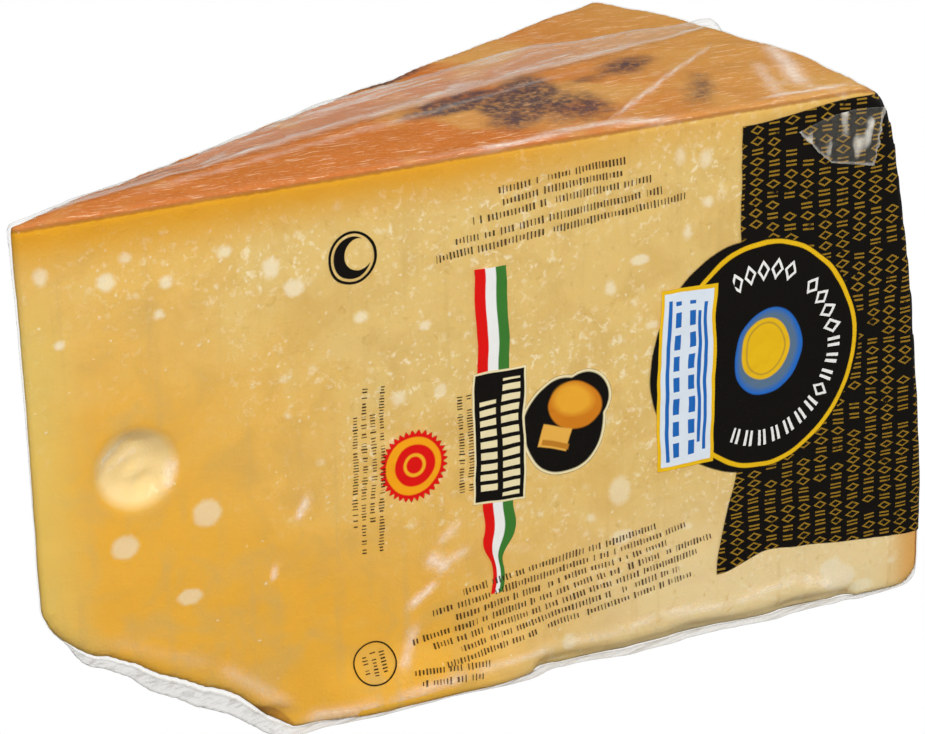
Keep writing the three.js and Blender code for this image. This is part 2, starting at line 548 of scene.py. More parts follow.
def plate_group():
    """The mask of a filled rectangle."""
    tree, nodes, given, out = new_group("plate_mark", MARK_INPUTS, {"Mask": "NodeSocketFloat"})
    across, along = turned_offsets(nodes, given)
    u = given["Half Width"] - abs(across)
    v = given["Half Height"] - abs(along)
    share = nodes.math("MINIMUM", u, v) / given["Edge"]
    nodes.set(out["Mask"], nodes.math("ADD", share, 0.5, clamp=True))
    return tree


def ticks_group():
    """The mask of rows of short upright ticks in groups, which say nothing."""
    inputs = dict(
        MARK_INPUTS, **{"Pitch": 2.6, "Advance": 0.9, "Weight": 0.2, "Ragged": 0.4, "Seed": 0.0}
    )
    tree, nodes, given, out = new_group("fine_ticks", inputs, {"Mask": "NodeSocketFloat"})
    across, along = turned_offsets(nodes, given)
    rows = (along + given["Half Height"]) / given["Pitch"]
    row = nodes.math("FLOOR", rows)
    v = nodes.math("FRACT", rows)
    columns = (across + row * 7.31) / given["Advance"]
    chances = []
    for share in (1.0, 0.25):
        column = nodes.math("FLOOR", columns * share)
        cell = nodes.vector(column, row + share, given["Seed"])
        dice = nodes.chance(Vector=cell)
        parts = nodes.channels(dice["Color"])
        chances.append(parts)
    # Each tick has its own weight and height, and a share of them are left out.
    weight = given["Weight"] * (0.7 + chances[0][0] * 0.7)
    tall = 0.33 - chances[0][1] * 0.14
    tick = nodes.math("COMPARE", nodes.math("FRACT", columns), 0.5, weight)
    tick = tick * nodes.math("COMPARE", v, 0.5, tall)
    kept = nodes.math("GREATER_THAN", chances[0][2], 0.08)
    spaced = nodes.math("GREATER_THAN", nodes.math("FRACT", columns * 0.25) + chances[1][0], 0.38)
    ends = nodes.chance(W=row + given["Seed"])
    length = given["Half Width"] * (1.0 - ends["Value"] * given["Ragged"])
    result = tick * kept * spaced
    for reach, limit in ((across, length), (along, given["Half Height"])):
        inside = nodes.math("LESS_THAN", abs(reach), limit)
        result = result * inside
    nodes.set(out["Mask"], result)
    return tree


def lozenges_group():
    """The mask of columns of small outlined lozenges and paired bars."""
    inputs = {"X": 0.0, "Z": 0.0, "Pitch": 4.2, "Step": 2.35, "Line": 0.088, "Broad": 1.05}
    tree, nodes, given, out = new_group("lozenge_columns", inputs, {"Mask": "NodeSocketFloat"})
    columns = given["X"] / given["Pitch"]
    column = nodes.math("FLOOR", columns)
    across = abs(nodes.math("FRACT", columns) - 0.5)
    drop = nodes.chance(W=column)
    steps = given["Z"] / given["Step"] + drop["Value"] * 6.0
    along = abs(nodes.math("FRACT", steps) - 0.5)
    reach = across * given["Broad"] + along
    lozenge = nodes.math("COMPARE", reach, 0.36, given["Line"])
    bars = nodes.math("COMPARE", along, 0.19, given["Line"])
    bars = bars * nodes.math("LESS_THAN", across, 0.31)
    pick = nodes.chance(Vector=nodes.vector(column, nodes.math("FLOOR", steps), 0.0))
    choose = nodes.math("GREATER_THAN", pick["Value"], 0.42)
    shown = nodes.math("GREATER_THAN", pick["Value"], 0.07)
    marks = nodes.add(
        "ShaderNodeMix", {"Factor": choose, "A": bars, "B": lozenge}, data_type="FLOAT"
    )
    nodes.set(out["Mask"], marks[0] * shown)
    return tree


def grains_group():
    """Fine crystals and grain in the paste: the white ones' mask and the grain's height."""
    tree, nodes, given, out = new_group(
        "paste_grains",
        {"Place": (0.0, 0.0, 0.0), "Amount": 0.5},
        {"Crystals": "NodeSocketFloat", "Height": "NodeSocketFloat"},
    )
    warp = nodes.noise(given["Place"], 0.35, 3.0)
    moved = nodes.add("ShaderNodeVectorMath", {0: given["Place"], 1: warp * 2.4}, operation="ADD")
    masks = []
    for scale, keep, size in ((0.15, 0.84, 0.16), (0.28, 0.80, 0.17), (0.55, 0.74, 0.16)):
        cells = nodes.add(
            "ShaderNodeTexVoronoi", {"Vector": moved[0], "Scale": scale, "Randomness": 0.9}
        )
        colour = nodes.channels(cells["Color"])
        limit = keep + 0.24 - given["Amount"] * 0.38
        chosen = nodes.math("GREATER_THAN", colour[0], limit)
        blob = nodes.ramp(cells["Distance"], size + 0.1, colour[1] * (size * 0.8))
        masks.append(blob * chosen)
    crystals = nodes.most(masks)
    fine = nodes.noise(given["Place"], 1.6, 4.0, 0.6)
    nodes.set(out["Crystals"], crystals)
    nodes.set(out["Height"], fine + crystals * 0.35)
    return tree


GROUPS = {}


def group(name):
    """A shader node group by its name, built once."""
    makers = {
        "place": place_group,
        "oval": oval_group,
        "plate": plate_group,
        "ticks": ticks_group,
        "lozenges": lozenges_group,
        "grains": grains_group,
    }
    if name not in GROUPS:
        GROUPS[name] = makers[name]()
    return GROUPS[name]


def new_material(name):
    material = bpy.data.materials.new(name)
    material.use_nodes = True
    tree = material.node_tree
    tree.nodes.clear()
    nodes = Nodes(tree)
    coordinates = nodes.add("ShaderNodeTexCoord")
    place = nodes.group("place", {"Object": coordinates["Object"]})
    output = nodes.add("ShaderNodeOutputMaterial")
    return material, nodes, place, output


def mark(nodes, kind, place, x, z, wide, high, turn=0.0, edge=0.12, **more):
    """The mask of one mark on the front face, its centre and half sizes in millimetres."""
    values = {
        "X": place["X"],
        "Z": place["Z"],
        "Centre X": x,
        "Centre Z": z,
        "Half Width": wide,
        "Half Height": high,
        "Turn": math.radians(turn),
        "Edge": edge,
    }
    values.update(more)
    return nodes.group(kind, values)["Mask"]


# ---- the cheese ----

# White crystals large enough to be told apart in the front face: x, z, half width and half height.
CRYSTALS = (
    (39.7, 53.9, 3.1, 3.0), (22.0, 50.0, 2.9, 2.6), (35.0, 36.2, 2.7, 1.8),
    (21.9, 106.5, 1.9, 1.9), (34.1, 104.5, 1.4, 1.3), (56.0, 103.6, 1.8, 2.2),
    (60.7, 98.6, 2.2, 1.9), (46.6, 108.6, 1.5, 1.3), (26.1, 110.9, 1.3, 1.1),
    (8.8, 110.0, 1.5, 1.8), (11.7, 95.3, 1.1, 1.0), (32.2, 98.0, 1.1, 1.0), (74.8, 89.8, 1.5, 1.2),
    (82.5, 70.7, 1.6, 1.6), (88.8, 85.5, 1.4, 1.0), (188.0, 6.6, 4.4, 3.2), (186.0, 9.4, 3.0, 2.4),
    (194.0, 3.4, 3.0, 1.6), (133.0, 39.5, 2.6, 3.4), (133.5, 28.5, 2.8, 1.7),
    (120.6, 6.2, 1.6, 2.0), (148.0, 112.3, 1.1, 1.8), (153.9, 110.9, 1.4, 1.9),
    (154.4, 101.2, 1.2, 1.1), (149.6, 95.3, 1.0, 1.5), (138.3, 91.0, 2.2, 1.2),
    (131.3, 86.0, 1.2, 1.6), (92.0, 70.6, 1.4, 1.4), (149.5, 27.5, 1.1, 0.9),
    (141.0, 76.0, 1.4, 0.9), (126.0, 34.5, 1.0, 0.9), (202.0, 8.0, 1.4, 0.8),
)  # fmt: skip


def cheese_material(sizes):
    """Straw-coloured granular paste, amber towards the tip and the rind, inside an oiled rind."""
    material, nodes, place, output = new_material("cheese")
    where = place["Place"]
    broad = nodes.noise(where, 0.018, 2.0, 0.5, 0.4)
    mottle = nodes.noise(where, 0.09, 4.0, 0.6, 0.6)
    fine = nodes.noise(where, 0.7, 4.0, 0.65)

    # Amber grows towards the tip and towards the split face.
    towards_tip = nodes.ramp(place["X"], 112.0, 18.0)
    towards_foot = nodes.ramp(place["Z"], 74.0, 12.0) * nodes.ramp(place["X"], 168.0, 70.0)
    amberness = towards_tip + towards_foot * 0.6
    amberness = amberness + (broad - 0.5) * 1.1
    amberness = nodes.math("ADD", amberness, (mottle - 0.5) * 0.9, clamp=True)
    high = nodes.ramp(place["Z"], 62.0, 108.0) * 0.55
    amberness = nodes.math("SUBTRACT", amberness, high, clamp=True)
    paste = nodes.blend(amberness, tuple(sizes.pale), tuple(sizes.amber))
    paste = nodes.blend(nodes.ramp(mottle, 0.42, 0.7) * 0.55, paste, (0.66, 0.42, 0.12))
    by_tip = nodes.ramp(place["X"], 19.0, 5.0) * nodes.ramp(place["Z"], 112.0, 92.0)
    paste = nodes.blend(by_tip * 0.6, paste, (0.76, 0.58, 0.16))
    # The paste is palest low down towards the rim.
    low_rim = nodes.ramp(place["Z"], 46.0, 10.0) * nodes.ramp(place["X"], 92.0, 155.0)
    paste = nodes.blend(low_rim * 0.72, paste, (0.88, 0.72, 0.42))
    drawn_out = nodes.add("ShaderNodeMapping", {"Vector": where, "Scale": (0.55, 0.55, 0.035)})
    streaks = nodes.noise(drawn_out[0], 0.5, 4.0, 0.6)
    paste = nodes.blend(nodes.ramp(streaks, 0.52, 0.75) * 0.35, paste, (0.62, 0.4, 0.13))

    # Crystals and grain, denser in the pale paste.
    amount = nodes.math("SUBTRACT", 0.92, amberness, clamp=True)
    grains = nodes.group("grains", {"Place": where, "Amount": amount})
    crystal = grains["Crystals"] * nodes.ramp(fine, 0.3, 0.6)
    crystal = crystal * 0.75
    clusters = nodes.ramp(nodes.noise(where, 0.05, 2.0), 0.34, 0.60)
    flecks = nodes.ramp(nodes.noise(where, 0.48, 6.0, 0.68, 0.4), 0.52, 0.66)
    flecks = flecks * clusters * amount
    crumbs = nodes.ramp(nodes.noise(where, 0.42, 5.0, 0.68, 0.5), 0.44, 0.28)
    paste = nodes.blend(crumbs * amount * 0.62, paste, (0.6, 0.35, 0.08))
    paste = nodes.blend(flecks * 0.85, paste, (0.92, 0.8, 0.54))
    ragged = (fine - 0.5) * 1.6
    spots = [
        mark(nodes, "oval", place, x, z, wide, high_, 0.0, 1.9) for x, z, wide, high_ in CRYSTALS
    ]
    near_face = nodes.ramp(place["Y"], 9.0, 4.0)
    spot = nodes.most(spots) + ragged * 0.55
    spot = nodes.ramp(spot, 0.15, 0.95) * near_face
    paste = nodes.blend(crystal, paste, (0.88, 0.74, 0.48))
    whiteness = nodes.ramp(place["Z"], 58.0, 92.0) * 0.24
    whiteness = nodes.math("MAXIMUM", whiteness, low_rim * 0.24)
    whiteness = 0.62 + whiteness
    paste = nodes.blend(spot * whiteness, paste, (0.89, 0.77, 0.53))
    # Where a flake broke away by the split corner, the set-back paste is painted darker and
    # browner as shade.
    flake = mark(nodes, "oval", place, 50.5, 4.2, 6.5, 2.6, -34.0, 1.2)
    paste = nodes.blend(flake * 0.8, paste, (0.55, 0.24, 0.03))
    eye = mark(nodes, "oval", place, EYE[0], EYE[1], EYE_RADIUS, EYE_RADIUS, 0.0, 2.2) * near_face
    paste = nodes.blend(eye * 0.75, paste, (0.92, 0.74, 0.38))

    # Golden under the rind, then a thin dark line where the rind itself begins.
    wander = (mottle - 0.5) * 5.0
    depth = place["Depth"] + wander
    golden = nodes.ramp(depth, 13.0, 1.5) * (0.35 + nodes.ramp(place["X"], 160.0, 90.0) * 0.6)
    paste = nodes.blend(golden, paste, tuple(sizes.golden))
    near_rim = nodes.ramp(place["Rim Depth"], 9.0, 1.0) * 0.75
    paste = nodes.blend(near_rim, paste, (0.72, 0.34, 0.06))

    rind_edge = place["Depth"] + ragged * 0.35
    rind = nodes.ramp(rind_edge, 0.95, 0.5)
    patches = nodes.noise(where, 0.028, 3.0, 0.55, 0.8)
    towards_rim = nodes.ramp(place["X"], 110.0, 185.0)
    rind_colour = nodes.blend(towards_rim, tuple(sizes.rind), (0.56, 0.26, 0.055))
    rind_colour = nodes.blend(nodes.ramp(patches, 0.5, 0.68) * 0.7, rind_colour, (0.6, 0.33, 0.09))
    stipple = nodes.noise(where, 1.3, 3.0, 0.7)
    rind_colour = nodes.blend(nodes.ramp(stipple, 0.52, 0.7) * 0.3, rind_colour, (0.68, 0.42, 0.2))
    scratched = nodes.add(
        "ShaderNodeMapping",
        {"Vector": where, "Rotation": (0.0, 0.0, 0.55), "Scale": (0.22, 2.6, 1.0)},
    )
    scratches = nodes.ramp(nodes.noise(scratched[0], 0.9, 3.0, 0.6), 0.58, 0.66)
    rind_colour = nodes.blend(scratches * 0.6, rind_colour, (0.82, 0.56, 0.36))
    # Purplish black smudges of old ink on the flat rind, as x, y, half width, half height, turn
    # and strength.
    from_above = {"X": place["X"], "Z": place["Y"]}
    smudges = []
    for x, y, wide, high_, turn, strength in (
        (122.0, 23.0, 15.0, 8.0, 52.0, 1.0),
        (110.0, 28.5, 14.0, 5.0, 14.0, 1.0),
        (127.0, 31.0, 8.0, 5.0, 50.0, 1.1),
        (131.0, 16.0, 10.0, 8.0, 40.0, 0.85),
        (143.0, 31.0, 9.0, 3.0, 20.0, 0.55),
        (154.0, 36.0, 8.0, 4.5, 30.0, 0.75),
        (160.0, 15.0, 9.0, 4.0, 62.0, 0.75),
        (104.0, 51.5, 12.0, 2.0, 24.0, 0.9),
    ):
        oval = mark(nodes, "oval", from_above, x, y, wide, high_, turn, 11.0)
        smudges.append(oval * strength)
    smudge = nodes.most(smudges)
    broken = nodes.ramp(nodes.noise(where, 0.55, 4.0, 0.7), 0.34, 0.58)
    cloudy = smudge + (mottle - 0.5) * 1.2
    broken = 0.42 + broken * 0.58
    smudge = nodes.ramp(cloudy, 0.12, 0.95) * broken
    smudge = smudge * nodes.ramp(place["Z"], 112.0, 118.0)
    rind_colour = nodes.blend(smudge * 0.94, rind_colour, (0.055, 0.033, 0.045))
    line = nodes.ramp(abs(rind_edge - 0.85), 0.6, 0.1) * 0.75
    colour = nodes.blend(rind, paste, rind_colour)
    colour = nodes.blend(line, colour, (0.30, 0.10, 0.012))

    grain = grains["Height"] * 0.5 + nodes.noise(where, 0.25, 4.0, 0.6) * 0.8
    pits = nodes.noise(where, 0.9, 5.0, 0.7) * 0.9 + stipple * 0.6
    height = nodes.add("ShaderNodeMix", {"Factor": rind, "A": grain, "B": pits}, data_type="FLOAT")
    bump = nodes.add("ShaderNodeBump", {"Strength": 0.35, "Distance": 0.0006, "Height": height[0]})
    rough = 0.42 + (mottle + rind * 0.3) * 0.25
    shader = nodes.add(
        "ShaderNodeBsdfPrincipled",
        {
            "Base Color": colour,
            "Roughness": rough,
            "Specular IOR Level": 0.12,
            "Subsurface Weight": 0.15,
            "Subsurface Radius": (0.006, 0.003, 0.001),
            "Subsurface Scale": 1.0,
            "Normal": bump["Normal"],
        },
    )
    nodes.set(output.inputs["Surface"], shader[0])
    return material


def build_cheese(sizes):
    cheese = sector("cheese", sizes)
    corner = broken_corner("corner_break", BROKEN_PASTE)
    roughen(corner, 2.0, 8.0, 2.0)
    take_away(cheese, corner)
    edge = crumbled_edge()
    take_away(cheese, edge)
    apply_modifier(cheese, "REMESH", mode="VOXEL", voxel_size=sizes.voxel * MM, adaptivity=0.0)
    apply_modifier(cheese, "SMOOTH", factor=0.4, iterations=1)

    def weather(place, normal):
        slow = noise.noise(place * 0.022 + Vector((4.1, 0.3, 7.7)))
        quick = noise.noise(place * 0.12 + Vector((1.9, 8.2, 0.4)))
        small = noise.noise(place * 0.45)
        outside = within((place.z - 116.0) / 4.0)
        lift = slow * 0.35 + quick * mix(0.16, 0.38, outside)
        lift += small * mix(0.05, 0.16, outside)
        # The eye, with a lumpy floor.
        depth = eye_depth(place, 2.8)
        if depth:
            depth -= 0.7 * noise.noise(place * 0.3) * ease(depth / 2.0)
        # A flake has broken away by the split corner.
        flake = math.hypot((place.x - 50.5) / 6.0, (place.z - 4.2) / 3.2)
        depth += 1.6 * (1.0 - ease(flake - 0.2)) * within(1.0 - place.y / 6.0)
        # Vertical lines where the cut was started and stopped.
        step = ease((place.x - 148.0 + place.z * 0.02) / 0.9) * ease((160.0 - place.x) / 12.0)
        # Low down in the middle of the front face the paste stands forward.
        swell = ease((place.x - 60.0) / 14.0) * ease((118.0 - place.x) / 16.0)
        swell *= ease((16.0 - place.z) / 14.0) * within(1.0 - place.y / 8.0)
        depth -= 2.6 * swell
        # The flat rind swells a little towards the back.
        outwards = ease((place.x - 50.0) / 50.0)
        dome = mix(0.9 * ease(place.y / 10.0), 1.1 * ease(place.y / 30.0), outwards)
        dome *= outside
        move = normal * (lift - 0.12 * step * within(1.0 - place.y))
        move += Vector((0.0, depth, dome))
        return move

    sculpt(cheese, weather)
    return cheese


def crumbled_edge():
    """What crumbled off along the lower edge of the front face, as a long rough bar."""
    deselect()
    bpy.ops.mesh.primitive_cube_add(size=2.0, location=(0.0, 0.0, 0.0))
    bar = bpy.context.object
    bar.name = "edge_break"
    for vertex in bar.data.vertices:
        side = vertex.co.copy()
        x = 112.0 if side.x < 0.0 else 192.0
        y, z = side.y * 2.7, side.z * 2.7
        vertex.co = at(x, (y - z) * 0.707 - 1.4, (y + z) * 0.707 + 1.2)
    roughen(bar, 1.5, 16.0, 2.6)
    return bar


# ---- the film ----

FLANGE_TOP = math.radians(16.0)  # where the flange crosses the flat rind
FLANGE_FOOT = math.radians(0.4)  # and where it reaches the rim's foot


def parting_angle(height):
    t = 1.0 - height / FILM_TOP
    return mix(FLANGE_TOP, FLANGE_FOOT, ease(t / 0.95))


def lean(mesh, way):
    """Leans a mesh so that the line where the two webs meet lies in one plane, or back again."""
    for vertex in mesh.vertices:
        place = local(vertex.co)
        shift = place.x * math.tan(parting_angle(place.z))
        vertex.co.y += way * shift * MM
    mesh.update()


# Folds pulled tight in the film: two ends, how wide and high they stand, and how much whitish haze
# and painted highlight they add.
FOLDS = (
    ((132.0, 3.0, 121.0), (178.0, 41.0, 121.0), 0.55, 0.85, 0.50),
    ((180.6, 5.5, 121.4), (189.0, 36.0, 121.8), 2.0, 0.9, 0.65),
    ((168.5, 3.0, 121.0), (190.5, 3.0, 121.0), 0.7, 0.6, 0.60),
    ((180.5, 6.5, 121.0), (187.5, -0.4, 119.5), 0.8, 0.5, 0.50),
    ((172.5, 1.0, 121.2), (179.5, 25.0, 121.6), 1.4, 0.4, 0.36),
    ((172.0, 9.0, 121.2), (181.0, 10.0, 121.4), 1.2, 0.3, 0.26),
    ((100.0, 0.8, 121.0), (130.0, 3.0, 121.0), 0.7, 0.6, 0.60),
    ((118.0, 4.6, 121.0), (148.0, 0.6, 121.0), 0.8, 0.6, 0.60),
    ((80.0, 0.6, 121.0), (108.0, 1.6, 121.0), 0.7, 0.4, 0.12),
    ((120.0, 4.4, 121.0), (142.0, 3.0, 121.0), 0.9, 0.4, 0.40),
    ((30.0, 6.0, 121.0), (112.0, 27.5, 121.0), 1.0, 0.5, 0.22),
    ((60.0, 14.0, 121.0), (150.0, 38.0, 121.0), 0.8, 0.45, 0.18),
    ((58.0, -0.5, 2.6), (76.0, -0.5, 2.8), 1.3, 0.9, 0.50),
    ((76.0, -0.5, 2.8), (96.0, -0.5, 5.0), 1.0, 0.7, 0.45),
    ((96.0, -0.5, 5.0), (118.0, -0.5, 6.2), 0.8, 0.6, 0.40),
    ((118.0, -0.5, 6.2), (134.0, -0.5, 6.0), 0.8, 0.7, 0.40),
    ((134.0, -0.5, 6.0), (142.0, -0.5, 8.0), 0.8, 0.7, 0.40),
    ((142.0, -0.5, 8.0), (160.0, -0.5, 6.6), 0.9, 0.8, 0.50),
    ((160.0, -0.5, 6.6), (178.0, -0.5, 9.0), 0.9, 0.8, 0.50),
    ((178.0, -0.5, 9.0), (186.0, -0.5, 5.4), 1.1, 0.9, 0.50),
    ((58.8, -0.5, 48.5), (61.6, -0.5, 53.2), 0.9, 0.6, 0.70),
    ((52.8, -0.5, 36.4), (53.8, -0.5, 39.6), 0.6, 0.4, 0.60),
    ((83.0, -0.5, 23.0), (89.5, -0.5, 27.6), 0.9, 0.6, 0.80),
    ((87.5, -0.5, 34.0), (92.5, -0.5, 30.0), 1.5, 0.5, 0.70),
    ((89.0, -0.5, 31.0), (97.0, -0.5, 33.5), 1.0, 0.5, 0.50),
    ((90.0, -0.5, 36.5), (95.0, -0.5, 40.0), 1.0, 0.4, 0.40),
    ((80.6, -0.5, 9.0), (84.5, -0.5, 19.0), 1.1, 0.45, 0.45),
    ((24.0, -0.5, 60.5), (29.0, -0.5, 70.5), 0.6, 0.3, 0.05),
    ((18.6, -0.5, 68.6), (24.5, -0.5, 73.2), 0.55, 0.5, 0.55),
    ((20.0, -0.5, 66.8), (26.5, -0.5, 69.6), 0.45, 0.3, 0.35),
    ((33.0, -0.5, 67.0), (31.4, -0.5, 60.8), 0.9, 0.5, 0.60),
    ((101.5, -0.5, 40.0), (110.0, -0.5, 37.0), 0.7, 0.5, 0.15),
    ((103.0, -0.5, 33.0), (112.0, -0.5, 30.5), 0.8, 0.5, 0.15),
    ((40.0, -0.5, 19.5), (56.0, -0.5, 6.0), 1.4, 0.5, 0.30),
    ((16.0, -0.5, 31.0), (40.0, -0.5, 19.5), 1.3, 0.4, 0.10),
)  # fmt: skip


def fold_at(place):
    """The height that the folds add to the film at a place, and their whitening: creased-film haze
    with a painted highlight.
    """
    height = fold_haze_and_glint = 0.0
    for start, end, width, rise, haze_and_glint in FOLDS:
        a, b = Vector(start), Vector(end)
        along = b - a
        t = within((place - a).dot(along) / along.length_squared)
        wobble = 0.35 * noise.noise(place * 0.25 + a)
        away = (place - a - along * t).length + wobble
        if away > width * 4.0:
            continue
        taper = min(1.0, 5.0 * min(t, 1.0 - t) + 0.15)
        share = math.exp(-((away / width) ** 2)) * taper
        height = max(height, rise * share)
        fold_haze_and_glint = max(fold_haze_and_glint, haze_and_glint * share)
    return height, fold_haze_and_glint


def flange_way(place):
    """The way the flange stands at a place on its foot, and its free width."""
    sizes = bpy.context.scene.film_sizes
    angle = parting_angle(min(place.z, 121.0))
    back = Vector((-math.sin(angle), math.cos(angle), 0.0))
    out = Vector((math.cos(angle), math.sin(angle), 0.0))
    tip_way = Vector((0.15, 0.95, 0.0))
    if place.z > 118.0 and place.x < 190.0:
        rise = mix(0.06, 0.56, ease((place.x - 15.0) / 90.0))
        way = back * math.sqrt(1.0 - rise * rise) + Vector((0.0, 0.0, rise))
        grown = mix(1.0, sizes.flange, within((place.x - 4.0) / 76.0))
        width = mix(grown, 3.0, ease((place.x - 125.0) / 60.0))
        return way, width
    if place.x > 150.0 and place.z > 2.0:
        lying = ease((121.0 - place.z) / 25.0)
        way = back * 0.85 + out * mix(0.5, 0.35, lying)
        way.z += 0.3 * (1.0 - lying)
        return way, mix(4.0, 1.6, ease((30.0 - place.z) / 26.0))
    if place.x > 57.5:
        return Vector((0.0, -1.0, 0.02)), mix(3.2, 1.6, ease((place.x - 180.0) / 25.0))
    if place.z > 38.0:
        return tip_way, 1.0
    up = ease(place.z / 4.0)
    folded = ease((place.z - 27.0) / 5.0)
    skirt = Vector((-0.52 * up, -1.0 + 0.94 * up, -0.82 * up)).normalized()
    way = skirt.lerp(tip_way, folded)
    middle = 1.0 - abs(place.x - 39.0) / 26.0
    width = mix(2.4, 4.8, ease(middle)) * (0.93 + 0.07 * math.sin(place.x * 0.5))
    return way, mix(width, 1.2, folded)


def open_web(form, name, front):
    """Cuts one web out of the closed form along the line where the two webs meet."""
    web = duplicate(form, name)
    lean(web.data, -1.0)
    bpy.ops.object.mode_set(mode="EDIT")
    bpy.ops.mesh.select_all(action="SELECT")
    bpy.ops.mesh.bisect(
        plane_co=at(0.0, 0.25, 0.0),
        plane_no=(0.0, 1.0, 0.0),
        clear_outer=front,
        clear_inner=not front,
        use_fill=False,
    )
    bpy.ops.object.mode_set(mode="OBJECT")
    lean(web.data, 1.0)
    return web


def grow_flange(web, rows):
    """Draws the web's open edge out into the flange, row by row, with long soft pleats."""
    mesh = web.data
    mesh.attributes.new("way", "FLOAT_VECTOR", "POINT")
    mesh.attributes.new("width", "FLOAT", "POINT")
    bm = bmesh.new()
    bm.from_mesh(mesh)
    bm.verts.ensure_lookup_table()
    rim = {v.index for v in bm.verts if any(e.is_boundary for e in v.link_edges)}
    beside = {
        i: [e.other_vert(bm.verts[i]).index for e in bm.verts[i].link_edges if e.is_boundary]
        for i in rim
    }
    bm.free()
    way, width = {}, {}
    for i in rim:
        way[i], width[i] = flange_way(local(mesh.vertices[i].co))
    for _ in range(14):
        way = {i: (way[i] + sum((way[j] for j in beside[i]), Vector())).normalized() for i in rim}
        width = {
            i: (width[i] + sum((width[j] for j in beside[i]))) / (1 + len(beside[i])) for i in rim
        }
    for i in rim:
        mesh.attributes["way"].data[i].vector = way[i]
        mesh.attributes["width"].data[i].value = width[i]
    activate(web)
    bpy.ops.object.mode_set(mode="EDIT")
    bpy.ops.mesh.select_mode(type="EDGE")
    bpy.ops.mesh.select_all(action="DESELECT")
    bpy.ops.mesh.select_non_manifold(extend=False)
    for row in range(1, rows + 1):
        bpy.ops.mesh.extrude_edges_move()
        bm = bmesh.from_edit_mesh(web.data)
        ways = bm.verts.layers.float_vector["way"]
        widths = bm.verts.layers.float["width"]
        flange = bm.verts.layers.float["flange"]
        for v in bm.verts:
            if not v.select:
                continue
            stand = v[ways]
            along = Vector((-stand.y, stand.x, stand.z * 0.3)).normalized()
            across = stand.cross(along).normalized()
            place = local(v.co)
            ripple = 0.34 * math.sin(row * 2.1 + 1.4 * noise.noise(place * 0.05))
            ripple += 0.5 * noise.noise(place * 0.07 + Vector((0.0, 0.0, row * 0.8)))
            v.co += stand * (v[widths] / rows) * MM
            v.co += across * ripple * MM * min(1.0, v[widths] / 6.0)
            v.co.z = max(v.co.z, 0.0003)
            v[flange] = row / rows
        bmesh.update_edit_mesh(web.data)
    bpy.ops.object.mode_set(mode="OBJECT")


def shrink_web(web, cheese, sizes, front):
    """Pulls the web tight over the cheese, then lifts its folds."""
    outward = 1.0 if front else 0.0
    mesh = web.data
    mesh.attributes.new("crease_haze_and_glint", "FLOAT", "POINT")
    mesh.attributes.new("flange", "FLOAT", "POINT")
    crease_haze_and_glint = mesh.attributes["crease_haze_and_glint"]
    depth_shift = []
    for i, vertex in enumerate(mesh.vertices):
        place = local(vertex.co)
        height, fold_haze_and_glint = fold_at(place)
        slack = 0.10 * (1.0 + noise.noise(place * 0.09)) + 0.05 * noise.noise(place * 0.4)
        dip = eye_depth(place, 2.4) if front else 0.0
        depth_shift.append((vertex.normal * (height * outward + slack), dip, fold_haze_and_glint))
    for i, (vertex, (rise, dip, fold_haze_and_glint)) in enumerate(zip(mesh.vertices, depth_shift)):
        vertex.co += rise * MM + Vector((0.0, dip * MM, 0.0))
        # Each fold's whitening, creased-film haze with a painted highlight, goes to the film's
        # shader.
        crease_haze_and_glint.data[i].value = fold_haze_and_glint * outward
    mesh.update()
    apply_modifier(
        web,
        "SHRINKWRAP",
        target=cheese,
        wrap_method="NEAREST_SURFACEPOINT",
        wrap_mode="OUTSIDE_SURFACE",
        offset=sizes.clearance * MM,
    )


def film_surface(nodes, output, cover, cover_colour, haze_and_glint, edge, bump):
    """Clear glossy film: what is behind shows through, except where it is printed, or clouded by
    its haze and by painted highlights.
    """
    clear = nodes.add("ShaderNodeBsdfTransparent", {"Color": (0.99, 0.985, 0.97, 1.0)})
    gloss = nodes.add(
        "ShaderNodeBsdfGlossy", {"Color": (1.0, 1.0, 1.0, 1.0), "Roughness": 0.11, "Normal": bump}
    )
    facing = nodes.add("ShaderNodeLayerWeight", {"Blend": 0.5, "Normal": bump})
    grazing = nodes.math("POWER", facing["Facing"], 5.0)
    mirror = nodes.math("ADD", 0.035, grazing * 0.12, clamp=True)
    film = nodes.switch(mirror, clear[0], gloss[0])
    # This whitish surface serves both the film's haze and its painted highlights: cream along the
    # folds, grey on the flange.
    grey = nodes.blend(edge, (0.92, 0.88, 0.78), (0.50, 0.48, 0.445))
    haze_glint_shader = nodes.add(
        "ShaderNodeBsdfPrincipled", {"Base Color": grey, "Roughness": 0.3, "Normal": bump}
    )
    whole = nodes.switch(haze_and_glint, film, haze_glint_shader[0])
    if cover is not None:
        ink = nodes.add(
            "ShaderNodeBsdfPrincipled",
            {
                "Base Color": cover_colour,
                "Roughness": 0.27,
                "Specular IOR Level": 0.16,
                "Normal": bump,
            },
        )
        whole = nodes.switch(cover, whole, ink[0])
    # The film's inner face adds nothing to what its outer face shows, and lamps shine through.
    passing = nodes.add("ShaderNodeBsdfTransparent", {"Color": (1.0, 1.0, 1.0, 1.0)})
    sides = nodes.add("ShaderNodeNewGeometry")
    outer = nodes.switch(sides["Backfacing"], whole, passing[0])
    rays = nodes.add("ShaderNodeLightPath")
    lit = nodes.switch(rays["Is Shadow Ray"], outer, passing[0])
    nodes.set(output.inputs["Surface"], lit)


